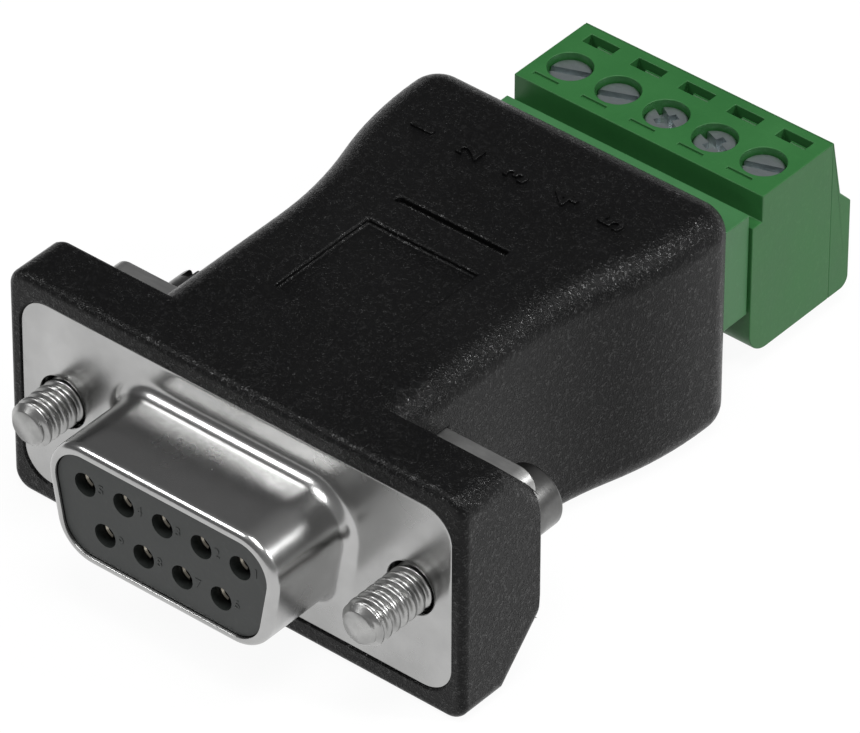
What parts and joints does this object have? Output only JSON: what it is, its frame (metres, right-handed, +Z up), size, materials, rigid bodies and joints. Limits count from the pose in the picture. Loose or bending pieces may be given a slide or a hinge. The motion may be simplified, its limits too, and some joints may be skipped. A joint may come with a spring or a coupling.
{
  "type": "serial connector to screw terminal adapter",
  "caption": "Black hooded adapter: D-shaped serial socket with jackscrews in front, green pluggable screw terminal block behind.",
  "frame": {"origin": "middle of the steel flange plate's front face, between the jackscrews", "axes": "+Y from the mating face towards the wires, +Z up, +X along the connector"},
  "size_m": [0.0326, 0.0492, 0.0154],
  "materials": {
    "black_moulding": "fine spark-eroded grain, satin black",
    "nickel_plated_steel": "bright plated sheet",
    "zinc_plated_steel": "satin plated",
    "grey_insulator": "dark grey-green, matte",
    "board_laminate": "solder mask green",
    "light_green_plastic": "lighter green, satin",
    "green_plastic": "green, satin",
    "gold_plated_brass": "thin gold plating",
    "tinned_bronze": "tin plated",
    "screw_nickel": "bright nickel plating",
    "screw_zinc": "bright zinc plating"
  },
  "bodies": {
    "adapter": {"hood": "black_moulding", "front_shell": "nickel_plated_steel", "back_shell": "nickel_plated_steel", "front_insulator": "grey_insulator", "back_insulator": "grey_insulator", "socket_contact_1": "gold_plated_brass", "socket_contact_2": "gold_plated_brass", "socket_contact_3": "gold_plated_brass", "socket_contact_4": "gold_plated_brass", "socket_contact_5": "gold_plated_brass", "socket_contact_6": "gold_plated_brass", "socket_contact_7": "gold_plated_brass", "socket_contact_8": "gold_plated_brass", "socket_contact_9": "gold_plated_brass", "circuit_board": "board_laminate", "terminal_header": "light_green_plastic", "header_pin_1": "gold_plated_brass", "header_pin_2": "gold_plated_brass", "header_pin_3": "gold_plated_brass", "header_pin_4": "gold_plated_brass", "header_pin_5": "gold_plated_brass", "retainer_left": "zinc_plated_steel", "retainer_right": "zinc_plated_steel"},
    "plug": {"terminal_plug": "green_plastic", "terminal_cover": "green_plastic", "plug_contact_1": "tinned_bronze", "plug_contact_2": "tinned_bronze", "plug_contact_3": "tinned_bronze", "plug_contact_4": "tinned_bronze", "plug_contact_5": "tinned_bronze"},
    "screw_1": {"clamp_screw_1": "screw_zinc"},
    "cage_1": {"clamp_cage_1": "zinc_plated_steel"},
    "screw_2": {"clamp_screw_2": "screw_zinc"},
    "cage_2": {"clamp_cage_2": "zinc_plated_steel"},
    "screw_3": {"clamp_screw_3": "screw_zinc"},
    "cage_3": {"clamp_cage_3": "zinc_plated_steel"},
    "screw_4": {"clamp_screw_4": "screw_zinc"},
    "cage_4": {"clamp_cage_4": "zinc_plated_steel"},
    "screw_5": {"clamp_screw_5": "screw_zinc"},
    "cage_5": {"clamp_cage_5": "zinc_plated_steel"},
    "jack_left": {"jackscrew_left": "screw_nickel"},
    "jack_right": {"jackscrew_right": "screw_nickel"}
  },
  "joints": [
    {"name": "plug_slide", "type": "slide", "parent": "adapter", "child": "plug", "axis": [0, 1, 0], "range_m": [0, 0.008]},
    {"name": "screw_1_turn", "type": "hinge", "parent": "plug", "child": "screw_1", "pos_m": [-0.007, 0.03745, 0.003], "axis": [0, 0, -1], "range_deg": [0, 1620]},
    {"name": "cage_1_rise", "type": "slide", "parent": "plug", "child": "cage_1", "axis": [0, 0, 1], "range_m": [0, 0.0018]},
    {"name": "screw_2_turn", "type": "hinge", "parent": "plug", "child": "screw_2", "pos_m": [-0.0035, 0.03745, 0.003], "axis": [0, 0, -1], "range_deg": [0, 1620]},
    {"name": "cage_2_rise", "type": "slide", "parent": "plug", "child": "cage_2", "axis": [0, 0, 1], "range_m": [0, 0.0018]},
    {"name": "screw_3_turn", "type": "hinge", "parent": "plug", "child": "screw_3", "pos_m": [0, 0.03745, 0.003], "axis": [0, 0, -1], "range_deg": [0, 1620]},
    {"name": "cage_3_rise", "type": "slide", "parent": "plug", "child": "cage_3", "axis": [0, 0, 1], "range_m": [0, 0.0018]},
    {"name": "screw_4_turn", "type": "hinge", "parent": "plug", "child": "screw_4", "pos_m": [0.0035, 0.03745, 0.003], "axis": [0, 0, -1], "range_deg": [0, 1620]},
    {"name": "cage_4_rise", "type": "slide", "parent": "plug", "child": "cage_4", "axis": [0, 0, 1], "range_m": [0, 0.0018]},
    {"name": "screw_5_turn", "type": "hinge", "parent": "plug", "child": "screw_5", "pos_m": [0.007, 0.03745, 0.003], "axis": [0, 0, -1], "range_deg": [0, 1620]},
    {"name": "cage_5_rise", "type": "slide", "parent": "plug", "child": "cage_5", "axis": [0, 0, 1], "range_m": [0, 0.0018]},
    {"name": "jack_left_turn", "type": "hinge", "parent": "adapter", "child": "jack_left", "pos_m": [-0.01249, 0, 0], "axis": [0, -1, 0], "continuous": true},
    {"name": "jack_right_turn", "type": "hinge", "parent": "adapter", "child": "jack_right", "pos_m": [0.01249, 0, 0], "axis": [0, -1, 0], "continuous": true}
  ],
  "couplings": [
    {"joint": "screw_1_turn", "follows": "cage_1_rise", "rad_per_m": 15708},
    {"joint": "screw_2_turn", "follows": "cage_2_rise", "rad_per_m": 15708},
    {"joint": "screw_3_turn", "follows": "cage_3_rise", "rad_per_m": 15708},
    {"joint": "screw_4_turn", "follows": "cage_4_rise", "rad_per_m": 15708},
    {"joint": "screw_5_turn", "follows": "cage_5_rise", "rad_per_m": 15708}
  ]
}
